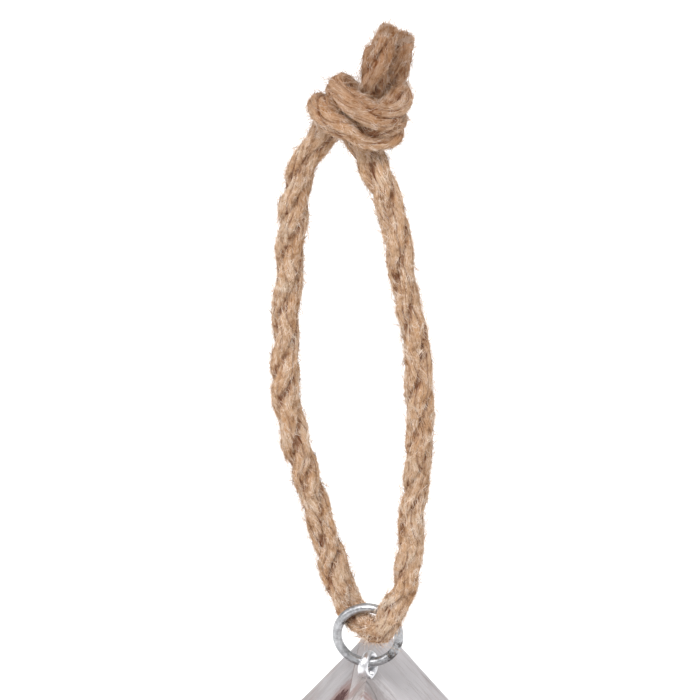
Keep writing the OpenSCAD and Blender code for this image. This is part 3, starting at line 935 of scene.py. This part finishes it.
class LANTERN_OT_stage(bpy.types.Operator):
    """Floor, soft light and camera"""

    bl_idname = "lantern.stage"
    bl_label = "Stage"

    def execute(self, context):
        scene = context.scene
        s = scene.lantern_stage
        floor_reach = 14
        swing_room = 20 * MM
        bm = bmesh.new()
        bmesh.ops.create_grid(bm, x_segments=8, y_segments=8, size=floor_reach)
        bmesh.ops.translate(bm, verts=bm.verts, vec=(0, 0, BASE_LOW.z - swing_room))
        mesh = bpy.data.meshes.new("floor")
        bm.to_mesh(mesh)
        bm.free()
        f = Finish("pale_floor")
        speck = f.cloud(f.place, 40, 2)
        mesh.materials.append(f.close(f.mix(speck * 0.05, s.floor, (0.86, 0.86, 0.86)), 0.9))
        floor = bpy.data.objects.new("floor", mesh)
        scene.collection.objects.link(floor)
        scene.view_settings.view_transform = "Standard"
        world = bpy.data.worlds.new("soft_sky")
        w = Finish("soft_sky", world)
        # Brighter above and on the left, with one bright window
        high = w.facing((0, 0, 1)).between(-0.15, 0.75)
        left = w.facing((-1, -0.4, 0)).between(-0.2, 0.9)
        window = w.facing((-0.78, -0.42, 0.46)).between(0.95, 0.99)
        glow = 0.3 + high * 0.85 + left * 0.15 + window * 5
        sky = w.node("Background", {}, {0: (1, 1, 1, 1), 1: glow * s.sky})
        w.node("OutputWorld", {}, {"Surface": sky})
        scene.world = world
        # Degrees right of the front and above level, strength, and softness in degrees
        for name, turn, height, strength, soft in (
            ("key", -8, 56, s.key, 24), ("fill", 70, 45, s.fill, 50),
        ):
            light = bpy.data.lights.new(name, "SUN")
            light.energy = strength
            light.angle = math.radians(soft)
            lamp = bpy.data.objects.new(name, light)
            source = seen_from(math.radians(turn), math.radians(height))
            lamp.rotation_euler = source.to_track_quat("Z", "Y").to_euler()
            lamp.location = source * 2
            scene.collection.objects.link(lamp)
        right = Vector((math.cos(s.azimuth), math.sin(s.azimuth), 0))
        back = seen_from(s.azimuth, s.elevation)
        up = back.cross(right)
        aim = RING_MID + right * s.aside + up * s.above
        camera = bpy.data.cameras.new("camera")
        camera.lens = s.lens
        camera.clip_start = 0.1
        camera.clip_end = 200
        eye = bpy.data.objects.new("camera", camera)
        turn = Matrix((right, up, back)).transposed()
        eye.matrix_world = Matrix.Translation(aim + back * s.distance) @ turn.to_4x4()
        scene.collection.objects.link(eye)
        scene.camera = eye
        return {"FINISHED"}


class LANTERN_OT_rope(bpy.types.Operator):
    """The laid rope with its knot, in one piece from cut end to cut end"""

    bl_idname = "lantern.rope"
    bl_label = "Rope"

    def execute(self, context):
        s = context.scene.lantern_rope
        rope = Rope(s)
        thing = piece(
            "jute_rope", rope_bmesh(rope), jute(s), "rope",
            ("rope", "rope_knot", "rope_ends"), 60,
        )
        return {"FINISHED"}


class LANTERN_OT_fibres(bpy.types.Operator):
    """Loose jute fibres along the rope and on its cut ends"""

    bl_idname = "lantern.fibres"
    bl_label = "Loose fibres"

    def execute(self, context):
        s = context.scene.lantern_rope
        rope = Rope(s)
        material = jute(s, "jute_loose", True)
        # How many, the longest, points of each, how steeply they rise, and the seed
        bunches = [
            ("jute_whiskers", *whiskers(rope, s.whiskers, 9 * MM, 4, 0.55, 5)),
            ("jute_nap", *whiskers(rope, s.nap, 3.4 * MM, 3, 1.3, 6)),
            ("jute_fluff", *whiskers(rope, s.nap, 5 * MM, 3, 0.45, 8)),
            ("jute_brush", *brush(rope, 1100, 7)),
        ]
        for name, lines, tapers in bunches:
            mesh = wire_mesh(name, lines, s.hair / 2, tapers)
            mount(bpy.data.objects.new(name, mesh), material, "rope")
        return {"FINISHED"}


class LANTERN_OT_ring(bpy.types.Operator):
    """The galvanised ring, bent from round wire"""

    bl_idname = "lantern.ring"
    bl_label = "Ring"

    def execute(self, context):
        s = context.scene.lantern_metal
        bm = spun(arc((RING_R, 0), WIRE, 0, 360, 25), RING_MID, (0, 1, 0), 120)
        # Coarse and fine lumps in the zinc
        for v in bm.verts:
            lump = noise.noise(v.co / (2.2 * MM)) * 0.05 + noise.noise(v.co / (0.7 * MM)) * 0.025
            v.co += v.normal * lump * MM
        # Painted shade: dark spots on the ring's lower right, its right side, its bottom by the eye and
        # its inner upper left by the rope; degrees round the ring, out from the wire's middle, radius
        stains_and_shade = []
        for degrees, out, size in ((-42, 0.9, 2.6), (-14, 0.3, 1.9), (-108, 1, 1.3), (148, -1, 1.6)):
            w = math.radians(degrees)
            place = RING_MID + Vector((math.cos(w), 0, math.sin(w))) * (RING_R + out * MM)
            stains_and_shade.append((place, size * MM))
        steel = metal("galvanised", s.steel, 0.34, 900, 0.6, 260, stains_and_shade)
        piece("steel_ring", bm, steel, "ring", ("hanging_ring",), 60)
        return {"FINISHED"}


class LANTERN_OT_screw_eye(bpy.types.Operator):
    """The screw eye: one wire bent from its shank round into a loop"""

    bl_idname = "lantern.screw_eye"
    bl_label = "Screw eye"

    def execute(self, context):
        low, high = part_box("screw_eye")
        wire = 0.95 * MM
        radius = 3.05 * MM
        shank_rows = 8
        point_rows = 5
        first, last = -72, 252
        middle = Vector((MID_X, 0, high.z - wire - radius))
        level = Vector((math.sin(EYE_TURN), math.cos(EYE_TURN), 0))
        shank = np.linspace(low.z + 0.2 * MM, middle.z - radius * 1.12, shank_rows)
        line = [Vector((MID_X, 0, z)) for z in shank]
        line += [middle + level * x + Vector((0, 0, z)) for x, z in arc((0, 0), radius, first, last, 60)]
        taper = np.concatenate([np.linspace(0.5, 1, point_rows), np.ones(len(line) - point_rows)])
        mesh = wire_mesh("eye_wire", [[tuple(p) for p in line]], wire, [taper], 5)
        # The loop is flattened across, and wider towards its foot
        across = Vector((level.y, -level.x, 0))
        for v in mesh.vertices:
            high = (v.co.z - middle.z) / radius
            loop = min(1, max(0, (high + 1.45) / 0.35))
            wider = 0.25 + 0.45 * min(2, max(0, 1 - high))
            v.co += across * (v.co - middle).dot(across) * loop * wider
        for face in mesh.polygons:
            face.use_smooth = True
        zinc = metal("bright_zinc", context.scene.lantern_metal.zinc, 0.3, 900, 0.2, 300)
        eye = bpy.data.objects.new("eye_wire", mesh)
        mount(eye, zinc, "lantern", ("screw_eye",))
        return {"FINISHED"}


def on_roof(side, along, y):
    """A place on a roof slope from its distance down the slope and its y, in millimetres."""
    x = MID_X + side * math.cos(PITCH) * along * MM
    return (x, y * MM, ROOF_HIGH.z - math.sin(PITCH) * along * MM)


def uneven_board(node, side, width, unevenness):
    """A roof board with worn edges, cut into small faces that wander a little."""
    down = Vector((side * math.cos(PITCH), 0, -math.sin(PITCH)))
    out = Vector((side * math.sin(PITCH), 0, math.cos(PITCH)))
    top = Vector((MID_X, 0, ROOF_HIGH.z))
    outer = ROOF_HIGH.y - 2 * MM
    step_y = 3.1 * MM
    step_down = 4.3 * MM
    bm = soften(node_bmesh(node), width, down)
    sliced(bm, (0, 1, 0), [(0, k * step_y, 0) for k in range(-9, 10)])
    sliced(bm, down, [top + down * (k * step_down) for k in range(1, 26)])
    for v in bm.verts:
        place = v.co - top
        along = place.dot(down)
        broad = Vector((along / (45 * MM), place.y / (9 * MM), side * 3.1))
        small = Vector((along / (9 * MM), place.y / (2.6 * MM), side * 5.7))
        v.co += out * (noise.noise(broad) + 0.4 * noise.noise(small) - 0.35) * unevenness
        if abs(place.y) > outer:
            v.co.y -= math.copysign(1, place.y) * unevenness * (0.6 + noise.noise(small * 1.7))
    return bm


class LANTERN_OT_roof(bpy.types.Operator):
    """The two roof boards, a little uneven, with their knots"""

    bl_idname = "lantern.roof"
    bl_label = "Roof"

    def execute(self, context):
        s = context.scene.lantern_wood
        # A dark arc line round the screw eye's foot: centre and radius
        dark_arcs = [((MID_X, -10.5 * MM, ROOF_HIGH.z), 5.8 * MM)]
        knots = {
            -1: [(14.1, 1.3, 4.6), (58, 14, 2.6), (88, -18, 3.2)],
            1: [(47, -12, 2.8), (79, 9, 3.6)],
        }
        # Stains, and painted shadow by the ridge: slope, distance down it, y, radius, colour and share
        stains_and_shade = {
            -1: [(-1, 14, 0, 9, s.dark, 0.7), (-1, 10, -8, 4, s.halo, 0.5)],
            1: [
                # The grey patches in these rows are painted shadow of the eye, ring and rope
                (-1, 5.05, -3.6, 4, s.halo, 0.8), (1, 5, -9, 8, s.grime, 0.75),
                (1, 0.5, -3, 9, s.grime, 0.75), (1, 2.2, -12.4, 3, s.halo, 0.6),
            ],
        }
        # The tone darkens each slope's wash as painted shade, the left slope more than the right
        for side, end, tone in ((-1, "left", 0.73), (1, "right", 0.91)):
            wood = washed(
                "washed_roof_" + end, s, -side * PITCH, 0.31 + side,
                [(on_roof(side, down, y), size * MM) for down, y, size in knots[side]],
                [(on_roof(slope, down, y), size * MM, shade, share)
                 for slope, down, y, size, shade, share in stains_and_shade[side]],
                dark_arcs, tone,
            )
            node = "roof_board_" + end
            bm = uneven_board(node, side, 1.3 * s.round_over, s.unevenness)
            evenly_lit(piece("roof_wood_" + end, bm, wood, "lantern", (node,), 35))
        return {"FINISHED"}


class LANTERN_OT_house(bpy.types.Operator):
    """Gable, walls, base, back, door frame and beads"""

    bl_idname = "lantern.house"
    bl_label = "House"

    def execute(self, context):
        s = context.scene.lantern_wood
        # Wood knots of three sorts of wood each way: place in millimetres, radius
        across_knots = [[((31, -29.5, -236), 2.4)], [((-12, -31, -341), 2.2)], []]
        upright_knots = [
            [((64, 6, -262), 3)], [((-48, -8, -312), 2.6), ((-25.5, 29.5, -245), 2.4)], [],
        ]
        wood = {}
        for grain, name, turn, seeds, sorts in (
            (ACROSS, "washed_across_", 0, (0.13, 0.53, 0.93), across_knots),
            (UPRIGHT, "washed_upright_", math.pi / 2, (0.21, 0.58, 0.95), upright_knots),
        ):
            for k, (seed, knots) in enumerate(zip(seeds, sorts)):
                knots = [(Vector(place) * MM, size * MM) for place, size in knots]
                wood[grain, k] = washed(name + str(k), s, turn, seed, knots)
        for node, name, grain, which in (
            ("front_gable", "gable_wood", ACROSS, 0), ("base_board", "base_wood", ACROSS, 1),
            ("side_wall_left", "left_wall_wood", UPRIGHT, 1),
            ("side_wall_right", "right_wall_wood", UPRIGHT, 0), ("back_panel", "back_wood", UPRIGHT, 1),
            ("door_stile_left", "left_stile_wood", UPRIGHT, 2),
            ("door_stile_right", "right_stile_wood", UPRIGHT, 2),
            ("door_rail_top", "top_rail_wood", ACROSS, 2),
            ("door_rail_bottom", "bottom_rail_wood", ACROSS, 2),
            ("door_beads", "door_bead_wood", ACROSS, 2), ("back_beads", "back_bead_wood", ACROSS, 2),
        ):
            width = s.round_over * (0.5 if "bead" in node else 1)
            dressed(node, name, wood[grain, which], width, grain)
        return {"FINISHED"}


class LANTERN_OT_glass(bpy.types.Operator):
    """The two panes"""

    bl_idname = "lantern.glass"
    bl_label = "Panes"

    def execute(self, context):
        clear = glass()
        dressed("door_pane", "door_glass", clear, 0.2 * MM)
        dressed("back_pane", "back_glass", clear, 0.2 * MM)
        return {"FINISHED"}


class LANTERN_OT_hinges(bpy.types.Operator):
    """Hinge leaves and the turn button"""

    bl_idname = "lantern.hinges"
    bl_label = "Hinges and turn button"

    def execute(self, context):
        s = context.scene.lantern_metal
        brass = metal("aged_brass", s.brass, 0.38, 1400, 0.22, 110)
        for node, name in (
            ("hinge_leaves_wall", "wall_leaves"), ("hinge_leaves_door", "door_leaves"),
            ("turn_button", "button_plate"),
        ):
            dressed(node, name, brass, 0.18 * MM, None, 35)
        return {"FINISHED"}


class LANTERN_OT_knob(bpy.types.Operator):
    """The turned door knob"""

    bl_idname = "lantern.knob"
    bl_label = "Door knob"

    def execute(self, context):
        low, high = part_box("door_knob")
        size = (high.x - low.x) / 2
        tall = high.y - low.y
        middle = (low + high) / 2
        # The foot and neck: share of the radius, height in millimetres
        outline = [(size * share, z * MM) for share, z in (
            (0, 0.05), (0.7, 0.05), (0.74, 0.5), (0.7, 1.1), (0.52, 1.5), (0.45, 2.3), (0.48, 3),
            (0.6, 3.4), (0.62, 3.7), (0.58, 3.95),
        )]
        # The ball has a turned groove round it, two points of its arc wide
        ball = arc((0, tall - size), size, -46, 90, 22)[:-1]
        outline += [(r * (0.965 if i in (9, 10) else 1), z) for i, (r, z) in enumerate(ball)]
        bm = spun(outline + [(0, tall)], (middle.x, high.y, middle.z), (0, -1, 0), 56)
        piece("turned_knob", bm, waxed(), "door", ("door_knob",), 50)
        return {"FINISHED"}


class LANTERN_OT_cup(bpy.types.Operator):
    """The pressed steel cup for a tea light"""

    bl_idname = "lantern.cup"
    bl_label = "Candle cup"

    def execute(self, context):
        low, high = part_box("candle_cup")
        rim = (high.x - low.x) / 2
        tall = high.z - low.z
        sheet = 0.6 * MM
        side = rim - sheet
        outline = [(0, 0)] + arc((side - sheet, sheet), sheet, -90, 0, 5)
        outline += arc((side, tall - sheet), sheet, -80, 200, 14)
        corner = 1.4 * sheet
        outline += [(side - sheet, tall - 2 * sheet)]
        outline += arc((side - sheet - corner, sheet + corner), corner, 0, -90, 5)
        outline += [(rim * 0.66, sheet), (rim * 0.63, 1.5 * sheet), (rim * 0.6, 1.5 * sheet)]
        outline += [(rim * 0.57, sheet), (2 * MM, sheet), (0, sheet)]
        middle = (low + high) / 2
        bm = spun(outline, (middle.x, middle.y, low.z), (0, 0, 1), 96)
        steel = metal("cup_steel", context.scene.lantern_metal.steel, 0.36, 500, 0.4, 90)
        piece("pressed_cup", bm, steel, "lantern", ("candle_cup",), 50)
        return {"FINISHED"}


class LANTERN_OT_fixings(bpy.types.Operator):
    """Nails, screws, pins and the washer"""

    bl_idname = "lantern.fixings"
    bl_label = "Fixings"

    def execute(self, context):
        s = context.scene.lantern_metal
        iron = metal("nail_iron", s.iron, 0.46, 900, 0.6, 300)
        zinc = metal("zinc_screws", s.zinc, 0.36, 900, 0.35, 300)
        brass = metal("brass_screws", tuple(c * 0.8 for c in s.brass), 0.34, 1400, 0.2, 200)
        for node in ("roof_nails", "wall_nails", "base_screws"):
            keep(node, iron)
        for node in ("cup_screw", "knob_screw", "button_washer"):
            keep(node, zinc)
        for node in ("hinge_pins", "hinge_screws_wall", "hinge_screws_door", "button_screw"):
            keep(node, brass)
        return {"FINISHED"}


class LANTERN_PT_pieces(bpy.types.Panel):
    """Lists the pieces of the lantern"""

    bl_idname = "LANTERN_PT_pieces"
    bl_label = "Lantern"
    bl_space_type = "VIEW_3D"
    bl_region_type = "UI"
    bl_category = "Lantern"

    def draw(self, context):
        for operator in OPERATORS:
            self.layout.operator(operator.bl_idname)
        for name, _ in SETTINGS:
            group = getattr(context.scene, name)
            for key in group.__annotations__:
                self.layout.prop(group, key)


SETTINGS = [
    ("lantern_stage", StageSettings), ("lantern_rope", RopeSettings),
    ("lantern_wood", WoodSettings), ("lantern_metal", MetalSettings),
]
OPERATORS = [
    LANTERN_OT_stage, LANTERN_OT_rope, LANTERN_OT_fibres, LANTERN_OT_ring, LANTERN_OT_screw_eye,
    LANTERN_OT_roof, LANTERN_OT_house, LANTERN_OT_glass, LANTERN_OT_hinges, LANTERN_OT_knob,
    LANTERN_OT_cup, LANTERN_OT_fixings,
]


def register():
    for name, group in SETTINGS:
        bpy.utils.register_class(group)
        setattr(bpy.types.Scene, name, PointerProperty(type=group))
    for operator in OPERATORS:
        bpy.utils.register_class(operator)
    bpy.utils.register_class(LANTERN_PT_pieces)


def unregister():
    bpy.utils.unregister_class(LANTERN_PT_pieces)
    for operator in reversed(OPERATORS):
        bpy.utils.unregister_class(operator)
    for name, group in reversed(SETTINGS):
        delattr(bpy.types.Scene, name)
        bpy.utils.unregister_class(group)


def main():
    register()
    bpy.ops.lantern.stage()
    bpy.ops.lantern.rope()
    bpy.ops.lantern.fibres()
    bpy.ops.lantern.ring()
    bpy.ops.lantern.screw_eye()
    bpy.ops.lantern.roof()
    bpy.ops.lantern.house()
    bpy.ops.lantern.glass()
    bpy.ops.lantern.hinges()
    bpy.ops.lantern.knob()
    bpy.ops.lantern.cup()
    bpy.ops.lantern.fixings()


if __name__ == "__main__":
    main()
